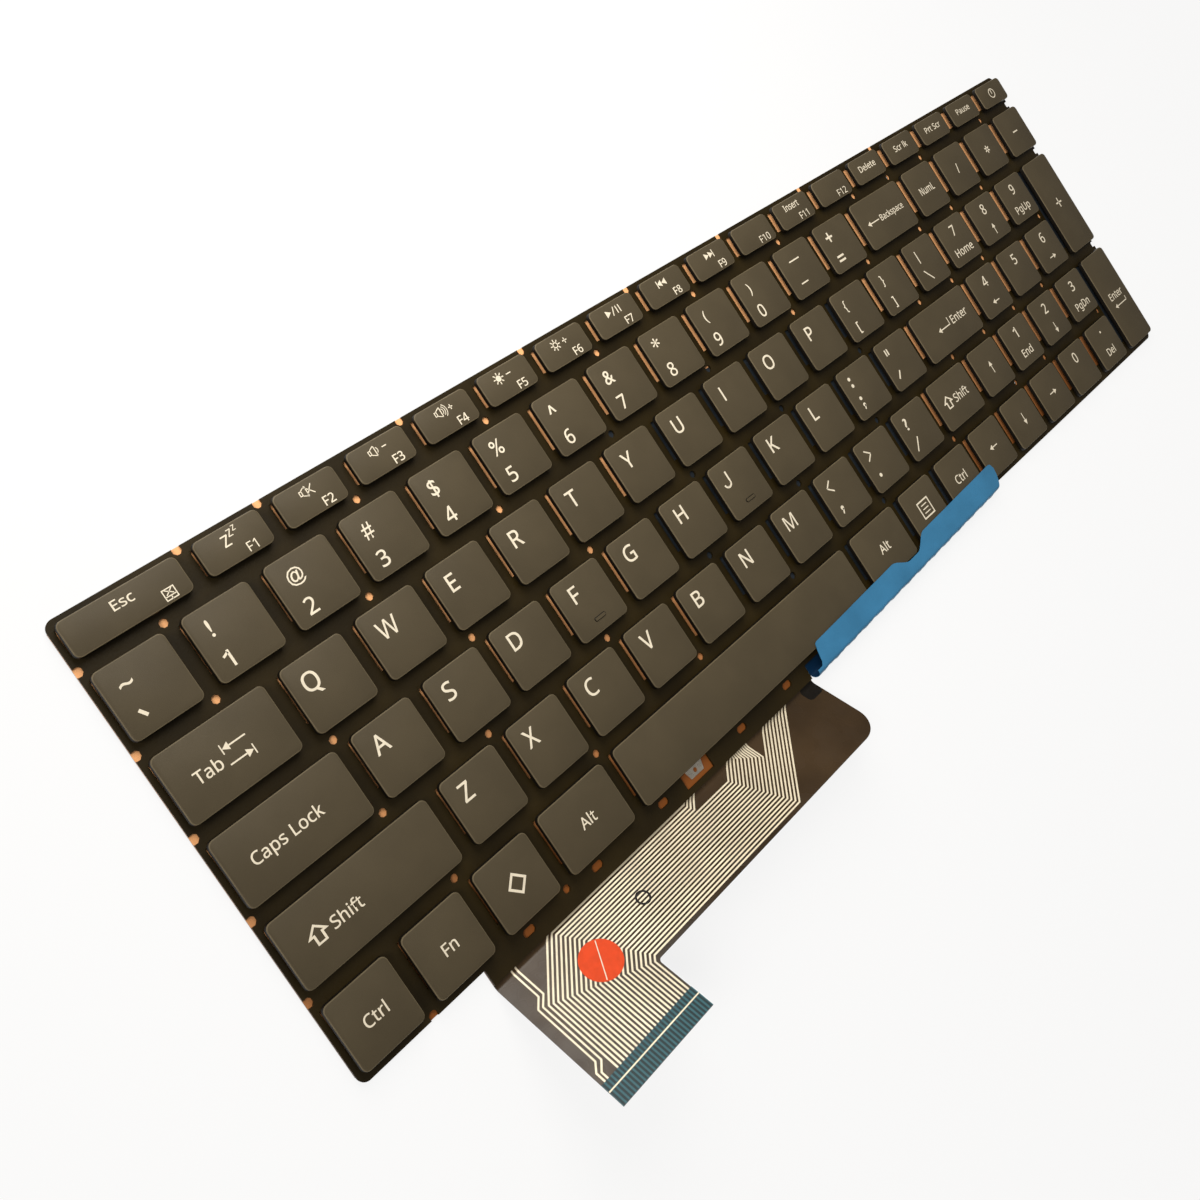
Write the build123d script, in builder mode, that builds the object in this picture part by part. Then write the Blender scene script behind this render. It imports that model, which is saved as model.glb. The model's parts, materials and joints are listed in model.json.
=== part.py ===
"""Laptop replacement keyboard: floating keycaps on rubber domes and folding frames over a windowed plate,
two circuit films behind it, a raised connector tail and a blue liner folded over the front edge.

Millimetres. +Z is up through the keycaps and +Y points to the function keys.
The origin is the middle of the plate on the back face.
"""

import os
from math import atan2, cos, degrees, pi, radians, sin

from build123d import *

os.makedirs("parts", exist_ok=True)

# Key grid
pitch_x = 19.0
pitch_y = 18.6
gap_x = 3.5
gap_y = 3.4
function_depth = 7.95
function_gap = 3.2
block_units = 14.5
pad_units = 4
bottom_units = 12.5

# Keycaps
cap_height = 1.2
cap_corner = 1.6
cap_draw = 0.15
travel = 1.0
press_clear = 0.3

# Layers from the back face up
film = 0.2
plate_thick = 0.6

# Plate outline
margin_side = 1.1
margin_rear = 1.2
margin_front = 1.9
plate_corner = 2.0
tongue_reach = 3.8

# Plate openings
window_side = 0.15
window_rear = 0.9
window_front = 3.2
window_room = 0.3
window_limit = 32.0
window_line = 3
window_web = 3.3
hole_radius = 0.9
hole_sides = 8
pilot_radius = 0.6
hole_shift = 0.5
notch_radius = 1.0
notch_inset = 0.55
slot_length = 3.2
slot_width = 1.8
slot_lead = 0.45
slot_units = (2.27, 3.376, 4.55, 6.095, 7.07)
amber_inset = 3.0

# Domes and folding frames
dome_foot = 2.5
dome_crown = 1.5
dome_sides = 4
frame_width = 10.6
frame_depth = 8.4
frame_bar = 1.1
frame_thick = 0.5

# Connector tail
tail_angle = 41.5
tail_bend = 2.0
bend_lead = 0.3
contact_pitch = 1.0
contact_count = 26
contact_margin = 1.2
tail_left_units = 1.612
tail_right_units = 7.485
band_length = 18.9
leg_length = 33.1
tail_corner = 6.0
leg_corner = 1.0
stiffener_length = 5.6
stiffener_thick = 0.2
sticker_diameter = 9.6
sticker_sides = 24
sticker_thick = 0.1
sticker_across = 0.704
sticker_along = 0.547

# Earthing tab in the front cut-out
tab_units = 5.19
cutout_width = 9.6
cutout_depth = 3.6
cutout_lead = 2.448
tab_width = 5.8
tab_taper = 0.7
tab_depth = 2.4
tab_thick = 0.2
tab_hole = 0.55

# Folded liner
liner_left_units = 7.515
liner_right_units = 12.63
patch_left_units = 6.63
patch_right_units = 12.1
patch_rear_units = 0.75
patch_skew = 5.0
patch_step = 10.0
patch_hem = 3.0
liner_turn = 1.62
liner_lead = 2.8
liner_bulge = 1.2
liner_clear = 0.25
liner_lap = 6.7
lap_step = 0.6
lap_end = 4.2
lap_corner = 2.0
lap_past = 1.0
scallop_depth = 3.4
scallop_left = 40.6
scallop_right = 61.5

# Derived layout
cap_width = pitch_x - gap_x
cap_depth = pitch_y - gap_y
hole_turn = 180 / hole_sides
film_top = 2 * film
plate_top = film_top + plate_thick
cap_bottom = plate_top + travel + press_clear
cap_top = cap_bottom + cap_height
cap_taper = degrees(atan2(cap_draw, cap_height))
total_units = block_units + pad_units
plate_width = total_units * pitch_x - gap_x + 2 * margin_side
keys_depth = function_depth + function_gap + 4 * pitch_y + cap_depth
plate_depth = keys_depth + margin_rear + margin_front
plate_left = -plate_width / 2
plate_right = plate_width / 2
plate_rear = plate_depth / 2
plate_front = -plate_depth / 2
keys_left = plate_left + margin_side


def across(units):
    """X of a place given in key units from the left edge of the first key."""
    return keys_left + units * pitch_x


def row_rear(row):
    """Y of the rear edge of a row of caps, counted from the function row."""
    if row == 0:
        return plate_rear - margin_rear
    return plate_rear - margin_rear - function_depth - function_gap - (row - 1) * pitch_y


def row_front(row):
    """Y of the front edge of a row of caps."""
    return row_rear(row) - (function_depth if row == 0 else cap_depth)


# Keys wider than one unit, the last of each row taking what is left
wide = {"esc": 1.525, "tab": 1.525, "caps": 1.76, "shift_left": 2.265}
wide.update({"alt_left": 1.26, "space": 4.97, "alt_right": 1.26})
wide["delete"] = block_units - 12 - wide["esc"]
wide["backspace"] = block_units - 13
wide["backslash"] = block_units - 12 - wide["tab"]
wide["enter"] = block_units - 11 - wide["caps"]
wide["shift_right"] = block_units - 11 - wide["shift_left"]
wide["ctrl_right"] = bottom_units - 4 - wide["alt_left"] - wide["space"] - wide["alt_right"]


def lay_row(row, names, start=0.0, rows=1):
    """Keys of one row from a starting unit, each as name, left, right, rear and front."""
    laid = []
    for name in names.split():
        end = start + wide.get(name, 1.0)
        laid.append((name, across(start), across(end) - gap_x, row_rear(row), row_front(row + rows - 1)))
        start = end
    return laid


function_keys = lay_row(0, "esc f1 f2 f3 f4 f5 f6 f7 f8 f9 f10 f11 f12 delete scroll print pause power")
number_keys = lay_row(1, "grave n1 n2 n3 n4 n5 n6 n7 n8 n9 n0 minus equals backspace")
upper_keys = lay_row(2, "tab q w e r t y u i o p bracket_left bracket_right backslash")
home_keys = lay_row(3, "caps a s d f g h j k l semicolon quote enter")
lower_keys = lay_row(4, "shift_left z x c v b n m comma period slash shift_right")
bottom_keys = lay_row(5, "ctrl_left fn system alt_left space alt_right menu ctrl_right")
arrow_keys = lay_row(4, "up", block_units - 1) + lay_row(5, "left down right", bottom_units)
pad_keys = lay_row(1, "pad_lock pad_slash pad_star pad_minus", block_units)
pad_keys += lay_row(2, "pad_7 pad_8 pad_9", block_units)
pad_keys += lay_row(2, "pad_plus", total_units - 1, 2)
pad_keys += lay_row(3, "pad_4 pad_5 pad_6", block_units)
pad_keys += lay_row(4, "pad_1 pad_2 pad_3", block_units)
pad_keys += lay_row(4, "pad_enter", total_units - 1, 2)
pad_keys += lay_row(5, "pad_0 pad_point", block_units + 1)
moving_keys = upper_keys + home_keys + lower_keys + bottom_keys
all_keys = function_keys + number_keys + moving_keys + arrow_keys + pad_keys


def middle(key):
    """Centre of a key in plan."""
    return ((key[1] + key[2]) / 2, (key[3] + key[4]) / 2)


def cut_octagon(radius):
    """A small hole in the sheet being drawn, given by its radius to the flats."""
    RegularPolygon(radius, hole_sides, major_radius=False, rotation=hole_turn, mode=Mode.SUBTRACT)


def save(builder, name):
    """Label a finished piece and write it."""
    builder.part.label = name
    export_step(builder.part, f"parts/{name}.step")


# Keycaps of the letter block, one piece each
for key in moving_keys:
    with BuildPart() as cap:
        with BuildSketch(Plane.XY.offset(cap_bottom)) as outline:
            with Locations(middle(key)):
                Rectangle(key[2] - key[1], key[3] - key[4])
            chamfer(outline.vertices(), cap_corner)
        extrude(amount=cap_height, taper=cap_taper)
    save(cap, "key_" + key[0])

# Keycaps of the other blocks, each block one group of separate caps
cap_groups = {
    "function_keys": function_keys,
    "number_keys": number_keys,
    "pad_keys": pad_keys,
    "arrow_keys": arrow_keys,
}
for group_name, group in cap_groups.items():
    with BuildPart() as caps:
        with BuildSketch(Plane.XY.offset(cap_bottom)) as outlines:
            for key in group:
                with Locations(middle(key)):
                    Rectangle(key[2] - key[1], key[3] - key[4])
            chamfer(outlines.vertices(), cap_corner)
        extrude(amount=cap_height, taper=cap_taper)
    save(caps, group_name)

# Windows under the caps, a long key having several in a line, gathered by size
windows = {}
for key in all_keys:
    span = key[2] - key[1] - 2 * window_side
    count = 1 if span <= window_limit else window_line
    width = round((span - (count - 1) * window_web) / count, 4)
    mid_x, mid_y = middle(key)
    rear_y = key[3] - window_rear
    front_y = min(key[4] + window_front, mid_y - dome_foot - window_room)
    depth = round(rear_y - front_y, 4)
    for place in range(count):
        shift = (place - (count - 1) / 2) * (width + window_web)
        windows.setdefault((width, depth), []).append((mid_x + shift, (rear_y + front_y) / 2))

# Round holes between the rows, each drawn a little towards the row whose gap it stands in
half_gap = gap_x / pitch_x / 2
tab_gap = wide["tab"] - half_gap
caps_gap = wide["caps"] - half_gap
shift_gap = wide["shift_left"] - half_gap
pad_gap = block_units - half_gap
space_gap = 3 + wide["alt_left"] - half_gap
menu_gap = space_gap + wide["space"] + wide["alt_right"]
hole_rows = [
    ([1 - half_gap], [tab_gap + n for n in (2, 4, 6, 8, 10, 12)], [pad_gap + n for n in (0, 1, 3)]),
    ([], [n - half_gap for n in (1, 3, 5, 7, 9, 11, 13)], [pad_gap + n for n in (0, 1, 2)]),
    ([caps_gap + n for n in (0, 2, 4, 6, 8, 10)], [tab_gap + 12], [pad_gap + n for n in (0, 1, 3)]),
    ([shift_gap + n for n in (1, 3, 5, 7, 9)], [caps_gap], [pad_gap + n for n in (-1, 0, 1, 2)]),
    (
        [2 - half_gap, space_gap, menu_gap, menu_gap + 2],
        [shift_gap + n for n in (4, 6)],
        [pad_gap + n for n in (0, 1, 3)],
    ),
]
holes = []
for row, (fronts, rears, centred) in enumerate(hole_rows):
    mid_y = (row_front(row) + row_rear(row + 1)) / 2
    holes += [(across(u), mid_y - hole_shift) for u in fronts]
    holes += [(across(u), mid_y + hole_shift) for u in rears]
    holes += [(across(u), mid_y) for u in centred]
fixing_x = (across(pad_gap), across(pad_gap + 3))
fixing_y = ((row_front(0) + row_rear(1)) / 2, (row_front(4) + row_rear(5)) / 2)
fixings = [(x, y) for x in fixing_x for y in fixing_y]
plain_holes = [hole for hole in holes if hole not in fixings]
plain_holes.append((across(3 - half_gap), plate_front + notch_inset))

# Notches along the edges
notches = [(plate_left + notch_inset, (row_front(r) + row_rear(r + 1)) / 2) for r in range(5)]
notches += [(plate_right - notch_inset, (row_front(r) + row_rear(r + 1)) / 2) for r in (0, 1, 3)]
notches += [(across(tab_gap + n), plate_rear - notch_inset) for n in (0, 1, 3, 5, 7, 9, 11)]
notches += [(across(pad_gap), plate_rear - notch_inset), (across(1 - half_gap), plate_front + notch_inset)]

# Tongue of the plate over the root of the tail
tail_left = across(tail_left_units)
tail_right = across(tail_right_units)
tongue_front = plate_front - tongue_reach
tongue_mid = ((tail_left + tail_right) / 2, (plate_front + tongue_front) / 2)
tongue_size = (tail_right - tail_left, tongue_reach)
slots = [(across(u), plate_front - slot_lead) for u in slot_units]
slot_ends = [(x + side * (slot_length - slot_width) / 2, y) for x, y in slots for side in (-1, 1)]
cutout = (across(tab_units), plate_front - cutout_lead + cutout_depth / 2)

# Plate with its windows, holes, notches and front openings
with BuildPart() as base_plate:
    with BuildSketch(Plane.XY.offset(film_top)) as sheet:
        Rectangle(plate_width, plate_depth)
        fillet(sheet.vertices(), plate_corner)
        with Locations(tongue_mid):
            Rectangle(*tongue_size)
        for (width, depth), places in windows.items():
            with Locations(*places):
                Rectangle(width, depth, mode=Mode.SUBTRACT)
        with Locations(*fixings):
            Circle(hole_radius, mode=Mode.SUBTRACT)
        with Locations(*plain_holes):
            cut_octagon(hole_radius)
        with Locations(*notches):
            cut_octagon(notch_radius)
        with Locations(*slots):
            Rectangle(slot_length - slot_width, slot_width, mode=Mode.SUBTRACT)
        with Locations(*slot_ends):
            cut_octagon(slot_width / 2)
        with Locations(cutout):
            Rectangle(cutout_width, cutout_depth, mode=Mode.SUBTRACT)
    extrude(amount=plate_thick)
save(base_plate, "base_plate")

# Earthing tab lying in the front cut-out
with BuildPart() as earth_tab:
    with BuildSketch(Plane.XY.offset(film_top)):
        with Locations((cutout[0], cutout[1] + (cutout_depth - tab_depth) / 2)):
            Trapezoid(tab_width, tab_depth, 90 - degrees(atan2(tab_taper, tab_depth)), rotation=180)
            cut_octagon(tab_hole)
    extrude(amount=tab_thick)
save(earth_tab, "earth_tab")

# Places of the liner's patch and fold
liner_left = across(liner_left_units)
liner_right = across(liner_right_units)
patch_left = across(patch_left_units)
patch_right = across(patch_right_units)
patch_rear = row_rear(1) - patch_rear_units * pitch_y
patch = [
    (patch_left, patch_rear),
    (patch_right, patch_rear - patch_skew),
    (patch_right, plate_front + patch_hem),
    (liner_right, plate_front + patch_hem),
    (liner_right, plate_front),
    (liner_left, plate_front),
    (liner_left, plate_front + patch_step),
    (patch_left, plate_front + patch_step),
]

# Upper circuit film, cut away where the liner lies
with BuildPart() as upper_film:
    with BuildSketch(Plane.XY.offset(film)) as sheet:
        with Locations((-amber_inset / 2, 0)):
            Rectangle(plate_width - amber_inset, plate_depth)
        chamfer(sheet.vertices(), plate_corner)
        with Locations(tongue_mid):
            Rectangle(*tongue_size)
        with BuildLine():
            Polyline(*patch, close=True)
        make_face(mode=Mode.SUBTRACT)
        with Locations(*fixings):
            cut_octagon(pilot_radius)
    extrude(amount=film)
save(upper_film, "upper_film")

# Lower circuit film: flat behind the plate, bent up in front of the tongue into the tail
slope = radians(tail_angle)
bend_y = tongue_front - bend_lead
bend_z = film + tail_bend
tail_root = (0, bend_y - (tail_bend + film) * sin(slope), bend_z - (tail_bend + film) * cos(slope))
tail_plane = Plane(origin=tail_root, x_dir=(1, 0, 0), z_dir=(0, sin(slope), cos(slope)))
leg_width = contact_pitch * contact_count + contact_margin
leg_right = tail_left + leg_width
leg_mid = tail_left + leg_width / 2
band_mid = (tail_left + tail_right) / 2
with BuildPart() as lower_film:
    with BuildSketch() as sheet:
        Rectangle(plate_width, plate_depth)
        chamfer(sheet.vertices(), plate_corner)
        with Locations((band_mid, (plate_front + bend_y) / 2)):
            Rectangle(tail_right - tail_left, plate_front - bend_y)
        with Locations(*fixings):
            cut_octagon(pilot_radius)
    extrude(amount=film)
    with BuildSketch(Plane.YZ.offset(tail_left)):
        with BuildLine():
            inner = CenterArc((bend_y, bend_z), tail_bend, 270, -tail_angle)
            outer = CenterArc((bend_y, bend_z), tail_bend + film, 270, -tail_angle)
            Line(inner @ 0, outer @ 0)
            Line(inner @ 1, outer @ 1)
        make_face()
    extrude(amount=tail_right - tail_left)
    with BuildSketch(tail_plane) as tail_outline:
        with Locations((band_mid, -band_length / 2)):
            Rectangle(tail_right - tail_left, band_length)
        with Locations((leg_mid, -leg_length / 2)):
            Rectangle(leg_width, leg_length)
        corner = tail_outline.vertices().sort_by(Axis.X)[-2:].sort_by(Axis.Y)[0]
        fillet(corner, tail_corner)
        inner_corner = tail_outline.vertices().sort_by_distance((leg_right, -band_length, 0))[0]
        fillet(inner_corner, leg_corner)
    extrude(amount=film)
save(lower_film, "lower_film")

# Contact stiffener at the end of the leg
with BuildPart() as tail_stiffener:
    with BuildSketch(tail_plane.offset(film)):
        with Locations((leg_mid, -leg_length + stiffener_length / 2)):
            Rectangle(leg_width, stiffener_length)
    extrude(amount=stiffener_thick)
save(tail_stiffener, "tail_stiffener")

# Round sticker on the tail
with BuildPart() as tail_sticker:
    with BuildSketch(tail_plane.offset(film)):
        with Locations((tail_left + sticker_across * leg_width, -sticker_along * band_length)):
            RegularPolygon(sticker_diameter / 2, sticker_sides)
    extrude(amount=sticker_thick)
save(tail_sticker, "tail_sticker")

# Blue liner: a patch behind the plate, folded a little askew round the front edge and over the front keys
lap_top = cap_top + liner_clear + film
fold_mid = (film + lap_top) / 2
fold_outer = lap_top - fold_mid
fold_axis = (0, fold_mid)
askew = radians(liner_turn)
along = (cos(askew), sin(askew), 0)
inward = (-sin(askew), cos(askew), 0)
fold_start = (liner_left, plate_front - liner_lead)
fold_plane = Plane(origin=(*fold_start, 0), x_dir=inward, z_dir=along)
lap_plane = Plane(origin=(*fold_start, lap_top - film), x_dir=along, z_dir=(0, 0, 1))
liner_length = (liner_right - liner_left) / cos(askew)
with BuildPart() as liner:
    with BuildSketch(Plane.XY.offset(film)):
        with BuildLine():
            Polyline(*patch, close=True)
        make_face()
    extrude(amount=film)
    with BuildSketch(fold_plane):
        with BuildLine():
            outer = EllipticalCenterArc(fold_axis, liner_bulge, fold_outer, 90, arc_size=180)
            inner = EllipticalCenterArc(fold_axis, liner_bulge - film, fold_outer - film, 90, arc_size=180)
            Polyline(outer @ 0, (liner_lap, lap_top), (liner_lap, lap_top - film), inner @ 0)
            Polyline(outer @ 1, (liner_lead, film), (liner_lead, film_top), inner @ 1)
        make_face()
    extrude(amount=liner_length)
    rear_left = liner_lap - lap_step
    rear_past = liner_lap + lap_past
    dip_left = (scallop_left, rear_left)
    dip_right = (scallop_right, liner_lap)
    dip = ((scallop_left + scallop_right) / 2, liner_lap - scallop_depth)
    lap_foot = (lap_end, lap_step)
    cut_corners = [(scallop_right, rear_past), (-lap_past, rear_past), (-lap_past, lap_step)]
    with BuildSketch(lap_plane):
        with BuildLine():
            Polyline(lap_foot, (lap_end, rear_left - lap_corner), (lap_end + lap_corner, rear_left), dip_left)
            Spline(dip_left, dip, dip_right, tangents=((1, 0), (1, 0)))
            Polyline(dip_right, *cut_corners, lap_foot)
        make_face()
    extrude(amount=film, mode=Mode.SUBTRACT)
    lap_edge = lap_plane.from_local_coords((liner_length, liner_lap, film / 2))
    chamfer(liner.edges().filter_by(Axis.Z).sort_by_distance(lap_edge)[0], lap_corner)
save(liner, "liner")

# Rubber dome under each cap
dome_height = cap_bottom - film_top
dome_taper = degrees(atan2((dome_foot - dome_crown) * cos(pi / dome_sides), dome_height))
with BuildPart() as rubber_domes:
    with BuildSketch(Plane.XY.offset(film_top)):
        with Locations(*[middle(key) for key in all_keys]):
            RegularPolygon(dome_foot, dome_sides)
    extrude(amount=dome_height, taper=dome_taper)
save(rubber_domes, "rubber_domes")

# Folding frame under each cap of the letter block, leaning from the film up to the cap
lean = atan2(dome_height - frame_thick, frame_depth)
frame_mid = (0, 0, (film_top + cap_bottom) / 2)
lean_plane = Plane(origin=frame_mid, x_dir=(1, 0, 0), z_dir=(0, -sin(lean), cos(lean)))
with BuildPart() as one_frame:
    with BuildSketch(lean_plane.offset(-frame_thick / 2)):
        Rectangle(frame_width, frame_depth)
        Rectangle(frame_width - 2 * frame_bar, frame_depth - 2 * frame_bar, mode=Mode.SUBTRACT)
    extrude(amount=frame_thick)
with BuildPart() as scissor_frames:
    with Locations(*[middle(key) for key in moving_keys]):
        add(one_frame.part)
save(scissor_frames, "scissor_frames")
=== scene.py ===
"""Laptop replacement keyboard: rounded and printed keycaps, round domes, the tracks of the connector tail,
the folded blue liner and the finishes of every piece, with the floor, lights and camera.

Metres. +Z is up through the keycaps and +Y points to the function keys.
"""

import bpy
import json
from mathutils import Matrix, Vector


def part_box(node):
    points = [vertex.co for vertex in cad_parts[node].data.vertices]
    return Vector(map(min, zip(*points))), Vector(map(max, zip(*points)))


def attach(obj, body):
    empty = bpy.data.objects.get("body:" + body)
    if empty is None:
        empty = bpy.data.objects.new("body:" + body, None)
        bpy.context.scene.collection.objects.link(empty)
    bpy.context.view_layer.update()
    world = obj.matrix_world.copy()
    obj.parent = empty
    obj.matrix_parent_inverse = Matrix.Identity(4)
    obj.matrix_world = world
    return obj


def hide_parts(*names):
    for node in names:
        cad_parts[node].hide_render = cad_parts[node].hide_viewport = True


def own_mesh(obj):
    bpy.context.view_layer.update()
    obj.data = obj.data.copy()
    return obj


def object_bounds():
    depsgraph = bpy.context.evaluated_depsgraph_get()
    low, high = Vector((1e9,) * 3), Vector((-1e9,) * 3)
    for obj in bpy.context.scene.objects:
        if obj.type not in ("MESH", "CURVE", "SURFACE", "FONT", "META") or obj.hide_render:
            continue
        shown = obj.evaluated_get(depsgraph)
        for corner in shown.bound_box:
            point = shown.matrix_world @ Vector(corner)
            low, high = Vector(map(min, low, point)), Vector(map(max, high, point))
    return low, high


bl_info = {
    "name": "Laptop replacement keyboard",
    "version": (1, 0, 0),
    "blender": (4, 5, 0),
    "location": "3D View > Sidebar > Keyboard",
    "description": "Models the pieces of a laptop replacement keyboard on its frame",
    "category": "Mesh",
}

import json
from math import cos, pi, radians, sin

import bpy
from bpy.props import FloatProperty, FloatVectorProperty, PointerProperty
from mathutils import Matrix, Vector

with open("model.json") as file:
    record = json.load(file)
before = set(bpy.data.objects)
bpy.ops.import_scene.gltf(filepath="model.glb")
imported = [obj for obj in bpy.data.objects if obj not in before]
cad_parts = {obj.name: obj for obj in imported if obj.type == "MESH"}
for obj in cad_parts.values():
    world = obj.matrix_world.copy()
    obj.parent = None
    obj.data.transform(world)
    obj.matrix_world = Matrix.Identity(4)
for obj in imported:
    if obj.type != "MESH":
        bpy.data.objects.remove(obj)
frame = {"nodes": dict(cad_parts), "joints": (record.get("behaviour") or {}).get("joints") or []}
cad_low, cad_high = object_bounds()

MM = 0.001


def size(name, description, default):
    """A length of the sidebar."""
    return FloatProperty(name=name, description=description, default=default * MM, unit="LENGTH", precision=5)


def tone(name, description, default):
    """A colour of the sidebar."""
    return FloatVectorProperty(
        name=name, description=description, default=default, subtype="COLOR", min=0, max=1
    )


class KeyboardSizes(bpy.types.PropertyGroup):
    """Sizes of the finished pieces."""

    corner: size("Cap corner", "Rounding of a cap's corners in plan", 1.35)
    draw: size("Cap draw", "How far a cap's top is drawn in on each side", 0.12)
    rim: size("Cap rim", "Easing of the edge round a cap's top", 0.2)
    wall: size("Cap wall", "Thickness of a cap's wall seen from below", 0.8)
    hollow: size("Cap hollow", "Depth of the hollow under a cap", 0.6)
    post: size("Cap post", "Width of the post under a cap that meets the dome", 4.0)
    ink: size("Print", "Height of the print over a cap's top", 0.02)
    letter: size("Letter", "Height of the letters", 3.9)
    sign: size("Sign", "Height of the digits and signs", 3.5)
    word: size("Word", "Height of the capitals in words", 2.5)
    small: size("Small word", "Height of the capitals in small words", 1.9)
    stroke: size("Stroke", "Width of the lines of drawn marks", 0.32)
    homing: size("Homing bar", "Length of the raised bar on the two home keys", 3.5)
    crown: size("Dome crown", "Radius of a dome's top", 1.5)
    foot: size("Dome foot", "Radius of a dome's foot", 2.4)
    track: size("Track", "Width of a silver track on the tail", 0.44)
    pitch: size("Track pitch", "Spacing of the tracks along the leg", 0.941)
    rows: size("Track rows", "Spacing of the tracks along the band", 0.857)
    leg: size("Tail leg", "Length of the tail from its root to its end", 33.1)
    bend: size("Tail bend", "Radius of the bend at the root of the tail", 2.0)
    lap: size("Liner lap", "How far the liner lies over the front keys", 6.7)
    bulge: size("Liner bulge", "How far the liner's fold stands out in front", 1.2)
    liner: size("Liner", "Thickness of the blue liner", 0.16)


class KeyboardColours(bpy.types.PropertyGroup):
    """Colours of the finishes."""

    top: tone("Cap top", "Warm dark grey of the caps", (0.0765, 0.0605, 0.0355))
    # Black plastic of the cap sides, made darker still as painted shade on them; the dark marks and the
    # frames take their tones from it too
    side: tone("Cap side", "Black sides of the caps", (0.006, 0.0045, 0.003))
    # Paler tone of the eased rim round a cap's top, a painted highlight along the edge
    rim: tone("Cap rim", "Paler edge round a cap's top", (0.128, 0.102, 0.06))
    ink: tone("Print", "Cream print", (0.86, 0.78, 0.62))
    plate: tone("Plate", "Black paint of the plate", (0.019, 0.012, 0.002))
    # The film's amber at the rear, and the same film at the front darkened as painted shade; the film is
    # graded between them
    amber: tone("Amber film", "Film seen through the holes at the rear", (1.0, 0.5, 0.22))
    amber_painted_shade: tone("Brown film", "Film seen through the holes at the front", (0.27, 0.085, 0.018))
    film: tone("Tail film", "Smoked film of the tail", (0.036, 0.021, 0.009))
    track: tone("Tracks", "Silver tracks", (0.84, 0.75, 0.56))
    teal: tone("Contact end", "Blue-green end of the tail", (0.012, 0.05, 0.062))
    sticker: tone("Sticker", "Orange-red paper", (0.78, 0.07, 0.012))
    liner: tone("Liner", "Blue liner", (0.045, 0.2, 0.38))
    # Inner side of the liner's fold: the liner's blue darkened as painted shade
    inside: tone("Liner inside", "Inner side of the liner's fold", (0.004, 0.022, 0.06))
    # Tone of the liner behind the plate, its blue darkened as painted shade; the amber film also takes it
    # behind the tall keys
    shadow: tone("Liner behind", "Liner seen dark through the plate", (0.022, 0.028, 0.036))
    metal: tone("Earth tab", "Bare metal", (0.72, 0.68, 0.6))
    rubber: tone("Domes", "Rubber of the domes", (0.02, 0.018, 0.016))


def the_sizes():
    """The sizes set in the sidebar."""
    return bpy.context.scene.keyboard_sizes


# Materials

# Height of the grain that the bump shows, and the depth over which a cap counts as tall
GRAIN_HEIGHT = 0.1 * MM
TALL_KEY = 25 * MM


def add(tree, kind, *inputs, **named):
    """A new shader node with its inputs set or linked, in order or by name with underscores for spaces."""
    node = tree.nodes.new("ShaderNode" + kind)
    sockets = [(node.inputs[place], value) for place, value in enumerate(inputs)]
    sockets += [(node.inputs[name.replace("_", " ")], value) for name, value in named.items()]
    for socket, value in sockets:
        if isinstance(value, bpy.types.NodeSocket):
            tree.links.new(value, socket)
        else:
            socket.default_value = value
    return node


def reckon(tree, operation, first, second):
    """What a sum or test of two values gives."""
    node = add(tree, "Math", first, second)
    node.operation = operation
    return node.outputs["Value"]


def ramp_between(tree, value, first, first_tone, second, second_tone):
    """A colour ramp between two tones, each at its place on a value."""
    ramp = add(tree, "ValToRGB", Fac=value)
    stops = ramp.color_ramp.elements
    for stop, place, colour in zip(stops, (first, second), (first_tone, second_tone)):
        stop.position = place
        stop.color = (*colour, 1)
    return ramp


def surface(name, rough=(0.45, 0.6), grain=4000.0, bump=0.1, metallic=0.0, gloss=0.2):
    """A material with a varying roughness and a fine grain but no colour yet, and its coordinates."""
    coat = bpy.data.materials.new(name)
    coat.use_nodes = True
    tree, links = coat.node_tree, coat.node_tree.links
    shader = tree.nodes["Principled BSDF"]
    shader.inputs["Metallic"].default_value = metallic
    shader.inputs["Specular IOR Level"].default_value = gloss
    place = add(tree, "TexCoord").outputs["Object"]
    fine = add(tree, "TexNoise", Vector=place, Scale=grain, Detail=2).outputs["Fac"]
    low, high = rough
    spread = add(tree, "MapRange", Value=fine, From_Min=0.3, From_Max=0.7, To_Min=low, To_Max=high)
    links.new(spread.outputs["Result"], shader.inputs["Roughness"])
    relief = add(tree, "Bump", Strength=bump, Distance=GRAIN_HEIGHT, Height=fine)
    links.new(relief.outputs["Normal"], shader.inputs["Normal"])
    return coat, place


def colour_from(coat, node):
    """A material with its colour taken from a node."""
    shader = coat.node_tree.nodes["Principled BSDF"]
    coat.node_tree.links.new(node.outputs["Color"], shader.inputs["Base Color"])
    return coat


def finish(name, pale, dark, blotch, *skin):
    """A finish with a soft change of tone; skin is what surface() takes."""
    coat, place = surface(name, *skin)
    tree = coat.node_tree
    patches = add(tree, "TexNoise", Vector=place, Scale=blotch, Detail=4)
    return colour_from(coat, ramp_between(tree, patches.outputs["Fac"], 0.35, dark, 0.65, pale))


def shade(colour, factor):
    """A colour made darker or paler."""
    return tuple(min(1.0, part * factor) for part in colour)


def striped(name, pale, dark, period):
    """A finish with fine stripes across the tail, one for each contact."""
    coat, place = surface(name, rough=(0.25, 0.4), bump=0.05)
    tree = coat.node_tree
    wave = add(tree, "TexWave", Vector=place, Scale=2 * pi / (20 * period))
    wave.wave_type = "BANDS"
    wave.bands_direction = "X"
    return colour_from(coat, ramp_between(tree, wave.outputs["Fac"], 0.4, dark, 0.75, pale))


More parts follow.
